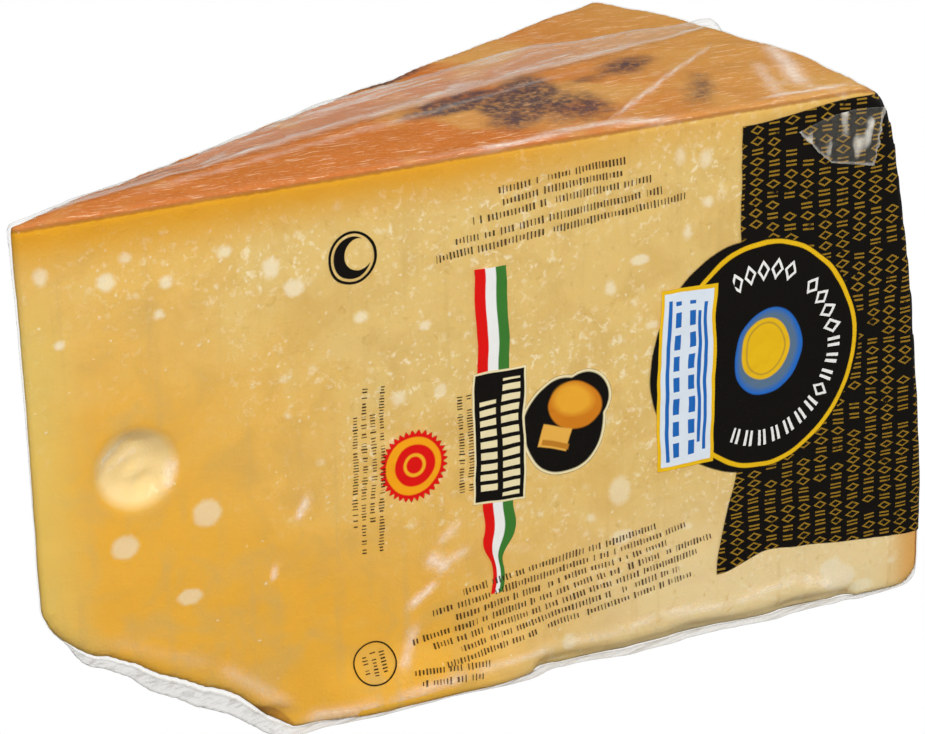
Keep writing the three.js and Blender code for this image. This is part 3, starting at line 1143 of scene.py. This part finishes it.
def film_texture(nodes, place):
    """The haze, with painted highlights on the folds and the flange's streaks, and the fine
    wrinkles that every piece of the film has.
    """
    crease_haze_and_glint = nodes.add("ShaderNodeAttribute", attribute_name="crease_haze_and_glint")["Fac"]
    flange = nodes.add("ShaderNodeAttribute", attribute_name="flange")["Fac"]
    turned = nodes.add(
        "ShaderNodeVectorRotate",
        {"Vector": place["Place"], "Angle": -FLANGE_TOP},
        rotation_type="Z_AXIS",
    )
    pulled = nodes.add("ShaderNodeMapping", {"Vector": turned[0], "Scale": (0.05, 1.0, 1.0)})
    streaks = nodes.noise(pulled[0], 1.1, 4.0, 0.6, 0.3)
    # The flange has a faint haze of its own, and the long whitish streaks on it are painted
    # highlights.
    streak_highlight = nodes.ramp(streaks, 0.46, 0.72)
    edge = nodes.ramp(flange, 0.0, 0.24)
    flange_haze_and_highlight = edge * (0.14 + streak_highlight * 0.5)
    # Painted highlight lines along the flange's foot and its free edge.
    border = nodes.most([nodes.ramp(flange, 0.82, 0.98), nodes.ramp(flange, 0.34, 0.18)])
    border = border * edge * 0.3
    flange_haze_and_highlight = flange_haze_and_highlight + border
    skirt = nodes.ramp(place["Z"], 60.0, 40.0) * 0.22
    flange_haze_and_highlight = flange_haze_and_highlight + skirt * edge
    # Along the folds the film is whitened, partly as creased-film haze and partly as a painted
    # highlight.
    folded = crease_haze_and_glint * (0.35 + nodes.noise(place["Place"], 0.8, 3.0) * 1.1)
    haze_and_glint = nodes.math("ADD", flange_haze_and_highlight, folded, clamp=True)
    haze_and_glint = nodes.math("MINIMUM", haze_and_glint, 0.85)
    fine = nodes.noise(place["Place"], 0.22, 3.0, 0.5, 0.8)
    height = fine + streaks * edge * 1.6
    bump = nodes.add("ShaderNodeBump", {"Strength": 0.45, "Distance": 0.0005, "Height": height})
    return haze_and_glint, edge, bump["Normal"]


def clear_film_material():
    material, nodes, place, output = new_material("clear_film")
    haze_and_glint, edge, bump = film_texture(nodes, place)
    film_surface(nodes, output, None, None, haze_and_glint, edge, bump)
    return material


def printed_film_material(sizes):
    """Clear film with its print: a black and gold panel, a round badge and small generic marks."""
    material, nodes, place, output = new_material("printed_film")
    haze_and_glint, edge, bump = film_texture(nodes, place)
    black, gold = tuple(sizes.black_ink), tuple(sizes.gold_ink)
    cream, white = (0.80, 0.70, 0.42), (0.83, 0.83, 0.80)
    yellow, blue = (0.80, 0.48, 0.01), (0.015, 0.13, 0.45)
    red, green = (0.72, 0.008, 0.006), (0.045, 0.19, 0.03)

    # The print is drawn a little out of true, as shrinking leaves it.
    warp = nodes.add(
        "ShaderNodeTexNoise", {"Vector": place["Place"], "Scale": 0.055, "Detail": 2.0}
    )
    parts = nodes.channels(warp["Color"])
    shifted = {key: place[key] + (parts[i] - 0.5) * 2.4 for i, key in enumerate(("X", "Z"))}
    on_face = nodes.math("LESS_THAN", place["Y"], 1.5)
    below_top = nodes.ramp(place["Z"], 119.9, 119.4, smooth=False)
    layers = []  # mask, colour

    def lay(mask, colour):
        layers.append((mask * on_face, colour))

    def drawn(kind, *values, **more):
        return mark(nodes, kind, shifted, *values, **more)

    # The panel and its lozenges wrap on round the rim.
    left = 162.2 + nodes.ramp(place["Z"], 46.0, 12.0) * -5.6
    bottom = 18.1 - nodes.ramp(shifted["X"], 166.0, 206.0) * 4.2
    sag = nodes.ramp(shifted["X"], 170.0, 157.0) * 3.4
    bottom = bottom - sag
    top = 116.6 + nodes.ramp(place["X"], 163.0, 190.0) * 2.2
    panel = nodes.ramp(shifted["X"] - left, -0.1, 0.15)
    panel = panel * nodes.ramp(shifted["Z"] - bottom, -0.1, 0.15)
    panel = panel * nodes.ramp(top - place["Z"], -0.1, 0.15)
    around = nodes.math("ARCTAN2", place["Y"], place["X"]) * nodes.ramp(place["Y"], 0.2, 0.8)
    unrolled = shifted["X"] + around * 205.0
    squeeze = shifted["Z"] - nodes.ramp(place["Z"], 50.0, 16.0) * 3.0
    marks = nodes.group("lozenges", {"X": unrolled, "Z": squeeze})["Mask"]
    worn = nodes.ramp(nodes.noise(place["Place"], 0.5, 3.0), 0.26, 0.42)
    marks = marks * worn
    panel_colour = nodes.blend(marks, black, gold)
    layers.append((panel * below_top, panel_colour))

    # The round badge: a thin yellow ring, a ring of lozenges and a blue and yellow oval on black.
    lay(drawn("oval", 166.0, 64.4, 25.6, 26.8, 0.0, 0.3), black)
    lay(drawn("oval", 168.2, 64.3, 22.6, 26.2, 0.0, 0.2), yellow)
    lay(drawn("oval", 168.2, 64.3, 21.6, 25.2, 0.0, 0.2), black)
    across = (shifted["X"] - 168.2) * (26.2 / 22.6)
    up = shifted["Z"] - 64.3
    turn = nodes.math("ARCTAN2", up, across)
    reach = nodes.math("SQRT", across * across + up * up)
    signs = nodes.group(
        "lozenges", {"X": reach - 16.6, "Z": turn * 19.5, "Pitch": 5.8, "Step": 3.9, "Line": 0.095}
    )["Mask"]
    band = nodes.math("COMPARE", reach, 19.5, 2.9)
    spread = nodes.math("LESS_THAN", abs(turn), 2.05)
    lay(signs * band * spread, white)
    lay(drawn("oval", 168.8, 64.9, 8.2, 10.0, -14.0, 0.3), (0.02, 0.14, 0.52))
    lay(drawn("oval", 168.6, 65.1, 7.2, 9.0, -14.0, 1.2), (0.10, 0.17, 0.26))
    lay(drawn("oval", 168.0, 65.6, 5.9, 7.0, -10.0, 0.3), yellow)
    lay(drawn("oval", 168.0, 65.6, 4.9, 6.0, -10.0, 0.3), (0.50, 0.30, 0.03))
    lay(drawn("oval", 168.0, 65.6, 4.5, 5.6, -10.0, 0.3), yellow)

    # The white plate, with a yellow border, blue lines and a row of blue blocks.
    lay(drawn("plate", 149.1, 62.6, 6.9, 20.5, -1.7), yellow)
    lay(drawn("plate", 149.1, 62.6, 6.1, 19.6, -1.7), (0.70, 0.77, 0.84))
    for x, wide, high_ in ((144.6, 0.45, 18.2), (152.2, 0.4, 15.0), (153.6, 0.4, 17.0)):
        lay(drawn("plate", x, 62.4, wide, high_, -1.7), blue)
    blocks = nodes.math("FRACT", shifted["Z"] / 4.9)
    blocks = nodes.math("COMPARE", blocks, 0.5, 0.34)
    row = drawn("plate", 148.6, 62.5, 2.6, 17.6, -1.7)
    lay(row * blocks, blue)
    lay(drawn("plate", 148.6, 62.5, 1.1, 17.7, -1.7), (0.70, 0.77, 0.84))

    # Ribbons of three colours above and below the plaque, the lower one crumpled.
    for low, high, start, wide, drift in (
        (72.0, 95.2, 103.9, 3.55, 0.0),
        (22.0, 45.0, 104.6, 3.6, 1.0),
    ):
        taper = nodes.ramp(shifted["Z"], low + 6.5, low + 13.0)
        half = wide * (1.0 - 0.62 * drift + taper * (0.62 * drift))
        ripple = nodes.math("SINE", place["Z"] * 0.55) * (0.42 * drift)
        middle = start + (shifted["Z"] - high) * (0.055 * drift)
        offset = (shifted["X"] - middle - ripple) / half
        inside = nodes.math("GREATER_THAN", shifted["Z"], low)
        inside = inside * nodes.math("LESS_THAN", shifted["Z"], high)
        inside = nodes.ramp(abs(offset), 1.02, 0.98) * inside
        stripes = nodes.blend(nodes.ramp(offset, -0.36, -0.30), red, white)
        stripes = nodes.blend(nodes.ramp(offset, 0.30, 0.36), stripes, green)
        lay(inside, stripes)

    # The plaque, with two rows of plain bars, and the round picture plate beside it.
    lay(drawn("oval", 119.8, 57.2, 9.8, 11.3, 4.0, 0.3), cream)
    lay(drawn("oval", 124.6, 62.0, 6.3, 7.0, -30.0, 0.3), cream)
    lay(drawn("oval", 119.8, 57.2, 9.2, 10.7, 4.0, 0.3), black)
    lay(drawn("oval", 124.6, 62.0, 5.7, 6.4, -30.0, 0.3), black)
    lay(drawn("oval", 122.6, 61.2, 6.2, 5.4, -20.0, 0.5), (0.62, 0.20, 0.012))
    lay(drawn("oval", 122.3, 62.6, 4.6, 3.4, -20.0, 2.0), (0.80, 0.38, 0.03))
    lay(drawn("plate", 117.8, 54.6, 3.6, 2.5, -18.0, 0.3), (0.80, 0.42, 0.07))
    lay(drawn("plate", 117.9, 53.0, 3.4, 0.6, -18.0, 0.3), (0.50, 0.20, 0.02))
    lay(drawn("plate", 104.9, 57.9, 6.1, 15.0, -2.2), cream)
    lay(drawn("plate", 104.9, 57.9, 5.6, 14.5, -2.2), black)
    rungs = nodes.math("FRACT", shifted["Z"] / 2.4)
    rungs = nodes.math("COMPARE", rungs, 0.5, 0.31)
    for x, z, length in ((102.4, 56.0, 10.2), (107.6, 57.4, 13.2)):
        row = drawn("plate", x, z, 1.95, length, -2.2)
        lay(row * rungs, cream)

    # The round seal, and two plain rings.
    seal_x = shifted["X"] - 85.0
    seal_z = shifted["Z"] - 55.0
    seal_turn = nodes.math("ARCTAN2", seal_z, seal_x)
    teeth = nodes.math("SINE", seal_turn * 34.0) * 0.42
    rim = teeth + 7.35
    lay(mark(nodes, "oval", shifted, 85.0, 55.0, rim, rim, 0.0, 0.3), red)
    lay(drawn("oval", 85.0, 55.0, 6.3, 6.2, 0.0, 0.3), (0.90, 0.36, 0.01))
    lay(drawn("oval", 85.4, 55.0, 4.6, 4.5, 0.0, 0.3), red)
    lay(drawn("oval", 85.4, 55.0, 2.6, 2.5, 0.0, 0.3), (0.90, 0.42, 0.02))
    lay(drawn("oval", 85.4, 55.0, 1.9, 1.8, 0.0, 0.3), red)
    for x, z, outer, inner in ((73.4, 102.7, 5.5, 4.9), (74.5, 12.1, 5.0, 4.65)):
        ring = nodes.math(
            "SUBTRACT",
            drawn("oval", x, z, outer, outer),
            drawn("oval", x, z, inner, inner),
            clamp=True,
        )
        lay(ring, black)
    crescent = nodes.math(
        "SUBTRACT",
        drawn("oval", 73.4, 102.7, 4.3, 4.3),
        drawn("oval", 74.9, 103.2, 3.2, 3.2),
        clamp=True,
    )
    lay(crescent, black)

    # Rows of ticks, where a pack has its fine print.
    ink = (0.030, 0.012, 0.007)
    for x, z, wide, rows, turn_, pitch, advance, seed in (
        (120.5, 110.0, 21.5, 3, 3.2, 2.65, 0.82, 1.0),
        (120.0, 102.6, 38.0, 2, 4.3, 2.70, 0.82, 5.0),
        (119.6, 19.4, 38.0, 7, 7.3, 2.45, 0.80, 9.0),
        (91.5, 6.0, 11.0, 2, -4.0, 2.6, 0.82, 13.0),
        (75.2, 56.0, 18.5, 4, -92.4, 2.0, 0.66, 17.0),
        (97.1, 57.7, 13.0, 2, -91.5, 2.15, 0.66, 21.0),
        (74.5, 12.1, 3.2, 3, -84.0, 2.1, 0.75, 25.0),
    ):
        lines = drawn(
            "ticks", x, z, wide, rows * pitch / 2.0, turn_, Pitch=pitch, Advance=advance, Seed=seed
        )
        lay(lines * 0.9, ink)

    cover, colour = layers[0]
    for mask, tint in layers[1:]:
        colour = nodes.blend(mask, colour, tint)
        cover = nodes.math("MAXIMUM", cover, mask)
    cover = cover * nodes.ramp(haze_and_glint, 1.6, 0.2, smooth=False)
    film_surface(nodes, output, cover, colour, haze_and_glint, edge, bump)
    return material


def wrap_form(cheese_sizes, film_sizes):
    """The smooth closed form that the film is drawn over."""
    form = sector("wrap_form", cheese_sizes)
    take_away(form, broken_corner("corner_wrap", BROKEN_WRAP))
    apply_modifier(form, "REMESH", mode="VOXEL", voxel_size=film_sizes.voxel * MM, adaptivity=0.0)
    apply_modifier(form, "SMOOTH", factor=0.4, iterations=2)
    apply_modifier(form, "DISPLACE", strength=0.42 * MM, mid_level=0.0)
    return form


# ---- operators ----


class MESH_OT_cheese_wedge(bpy.types.Operator):
    """Model the cheese: paste and rind in one piece"""

    bl_idname = "mesh.cheese_wedge_add"
    bl_label = "Cheese Wedge"

    def execute(self, context):
        sizes = context.scene.cheese_sizes
        cheese = build_cheese(sizes)
        finish_piece(cheese, "cheese_wedge", cheese_material(sizes))
        return {"FINISHED"}


class MESH_OT_film_webs(bpy.types.Operator):
    """Model the two webs of film, with the welded flange on the front one"""

    bl_idname = "mesh.film_webs_add"
    bl_label = "Film Webs"

    def execute(self, context):
        sizes = context.scene.film_sizes
        form = wrap_form(context.scene.cheese_sizes, sizes)
        cheese = bpy.data.objects["cheese"]
        for name, node, front in (
            ("front_web", "film_front_web", True),
            ("back_web", "film_back_web", False),
        ):
            web = open_web(form, name, front)
            shrink_web(web, cheese, sizes, front)
            if front:
                grow_flange(web, sizes.rows)
            apply_modifier(web, "SOLIDIFY", thickness=sizes.thickness * MM, offset=1.0)
            material = printed_film_material(sizes) if front else clear_film_material()
            finish_piece(web, node, material)
        bpy.data.objects.remove(form)
        return {"FINISHED"}


class MESH_OT_film_ear(bpy.types.Operator):
    """Model the loose crumpled ear of film at the shoulder"""

    bl_idname = "mesh.film_ear_add"
    bl_label = "Film Ear"

    def execute(self, context):
        deselect()
        bpy.ops.mesh.primitive_grid_add(x_subdivisions=44, y_subdivisions=30, size=2.0)
        ear = context.object
        ear.name = "film_ear"
        mesh = ear.data
        # The ear's corners on the front face: low left, low right, high left and high right.
        corners = ((183.2, 105.6), (194.0, 103.2), (175.6, 113.4), (197.0, 115.8))
        crease_hazes_and_glints = []
        for vertex in mesh.vertices:
            u, v = (vertex.co.x + 1.0) / 2.0, (vertex.co.y + 1.0) / 2.0
            low = [mix(corners[0][k], corners[1][k], u) for k in (0, 1)]
            high = [mix(corners[2][k], corners[3][k], u) for k in (0, 1)]
            x, z = (mix(low[k], high[k], v) for k in (0, 1))
            z += 1.6 * math.sin(math.pi * u) * v
            crumple = noise.noise(Vector((x * 0.35, z * 0.16, 0.0)))
            fine = noise.noise(Vector((x * 0.9, z * 0.5, 4.0)))
            lift = 1.0 + 0.5 * (1.0 - v) + 0.55 * crumple + 0.22 * fine
            vertex.co = at(x + 0.5 * fine, -max(lift, 0.7), z)
            # It shows by painted highlights along its folded edges and on its sharpest crumples,
            # over a faint haze.
            rim = max(ease((0.07 - v) / 0.07), ease((u - 0.95) / 0.05), ease((0.05 - u) / 0.05))
            crease_hazes_and_glints.append(0.05 + 0.5 * rim + 2.2 * max(0.0, crumple - 0.12))
        for name in ("crease_haze_and_glint", "flange"):
            mesh.attributes.new(name, "FLOAT", "POINT")
        for item, crease_haze_and_glint in zip(mesh.attributes["crease_haze_and_glint"].data, crease_hazes_and_glints):
            item.value = crease_haze_and_glint
        apply_modifier(
            ear, "SOLIDIFY", thickness=context.scene.film_sizes.thickness * MM, offset=0.0
        )
        film = bpy.data.objects["back_web"].data.materials[0]
        finish_piece(ear, None, film)
        return {"FINISHED"}


# Each lamp: its name, place, aim, size and power, and whether glossy surfaces mirror it.
LAMPS = (
    ("key", (-0.5, -0.95, 0.85), (0.0, 0.0, 0.06), 0.8, 13.2, False),
    ("glint", (-0.42, -0.98, 0.7), (0.0, 0.0, 0.06), 0.3, 0.9, True),
    ("fill", (0.8, -0.95, 0.45), (0.02, 0.0, 0.06), 1.3, 6.2, False),
    ("top", (0.25, 0.45, 1.15), (0.0, 0.02, 0.08), 0.8, 2.8, False),
)
SENSOR, LENS = 36.0, 125.332
CAMERA_PLACE = (-154.583, -562.71, 320.56)  # from the wheel's axis, in millimetres
CAMERA_WAY = Vector((0.37907698, 0.84799382, -0.3704148))
CAMERA_UP = Vector((0.17570726, 0.3270477, 0.92852935))


class SCENE_OT_cheese_stage(bpy.types.Operator):
    """Add the pale floor, the soft lights and the camera"""

    bl_idname = "scene.cheese_stage_add"
    bl_label = "Stage"

    def execute(self, context):
        deselect()
        bpy.ops.mesh.primitive_plane_add(size=3.0, location=(0.0, 0.0, -0.0002))
        floor = context.object
        floor.name = "floor"
        material, nodes, _, output = new_material("studio_floor")
        shade = nodes.add("ShaderNodeBsdfDiffuse", {"Color": (0.16, 0.15, 0.14, 1.0)})
        white = nodes.add("ShaderNodeEmission", {"Color": (1.0, 1.0, 1.0, 1.0)})
        rays = nodes.add("ShaderNodeLightPath")
        floor_mix = nodes.switch(rays["Is Camera Ray"], shade[0], white[0])
        nodes.set(output.inputs["Surface"], floor_mix)
        floor.data.materials.append(material)

        world = bpy.data.worlds.new("studio")
        world.use_nodes = True
        sky = Nodes(world.node_tree)
        world.node_tree.nodes.clear()
        rays = sky.add("ShaderNodeLightPath")
        where = sky.add("ShaderNodeTexCoord")
        parts = sky.add("ShaderNodeSeparateXYZ", {0: where["Generated"]})
        glow = sky.ramp(parts["Z"], 0.28, 0.95)
        aside = sky.ramp(parts["X"], 0.45, 0.8) * 0.5
        strength = 0.07 + glow * 0.6
        strength = strength + aside
        strength = sky.math("MAXIMUM", strength, rays["Is Camera Ray"])
        light = sky.add(
            "ShaderNodeBackground", {"Color": (1.0, 1.0, 1.0, 1.0), "Strength": strength}
        )
        end = sky.add("ShaderNodeOutputWorld")
        sky.set(end.inputs["Surface"], light[0])
        context.scene.world = world
        for name, place, aim, size, power, mirrored in LAMPS:
            light = bpy.data.lights.new(name, "AREA")
            light.size = size
            light.energy = power
            ob = bpy.data.objects.new(name, light)
            context.collection.objects.link(ob)
            ob.location = place
            ob.visible_glossy = mirrored
            ob.rotation_euler = (Vector(aim) - Vector(place)).to_track_quat("-Z", "Y").to_euler()

        camera = bpy.data.cameras.new("camera")
        camera.sensor_width = SENSOR
        camera.lens = LENS
        ob = bpy.data.objects.new("camera", camera)
        context.collection.objects.link(ob)
        forward = CAMERA_WAY.normalized()
        up = CAMERA_UP
        right = forward.cross(up).normalized()
        up = right.cross(forward)
        rotation = Matrix((right, up, -forward)).transposed().to_4x4()
        ob.matrix_world = Matrix.Translation(at(*CAMERA_PLACE)) @ rotation
        context.scene.camera = ob
        context.scene.view_settings.view_transform = "Standard"
        return {"FINISHED"}


class VIEW3D_PT_cheese(bpy.types.Panel):
    """Lists the pieces of the cheese wedge"""

    bl_label = "Cheese Wedge"
    bl_idname = "VIEW3D_PT_cheese_wedge"
    bl_space_type = "VIEW_3D"
    bl_region_type = "UI"
    bl_category = "Cheese"

    def draw(self, context):
        for operator in OPERATORS:
            self.layout.operator(operator.bl_idname)


OPERATORS = (MESH_OT_cheese_wedge, MESH_OT_film_webs, MESH_OT_film_ear, SCENE_OT_cheese_stage)
CLASSES = (CheeseSizes, FilmSizes, *OPERATORS, VIEW3D_PT_cheese)


def register():
    for cls in CLASSES:
        bpy.utils.register_class(cls)
    bpy.types.Scene.cheese_sizes = PointerProperty(type=CheeseSizes)
    bpy.types.Scene.film_sizes = PointerProperty(type=FilmSizes)


def unregister():
    del bpy.types.Scene.film_sizes
    del bpy.types.Scene.cheese_sizes
    for cls in reversed(CLASSES):
        bpy.utils.unregister_class(cls)


def main():
    register()
    bpy.ops.mesh.cheese_wedge_add()
    bpy.ops.mesh.film_webs_add()
    bpy.ops.mesh.film_ear_add()
    bpy.ops.scene.cheese_stage_add()


if __name__ == "__main__":
    main()
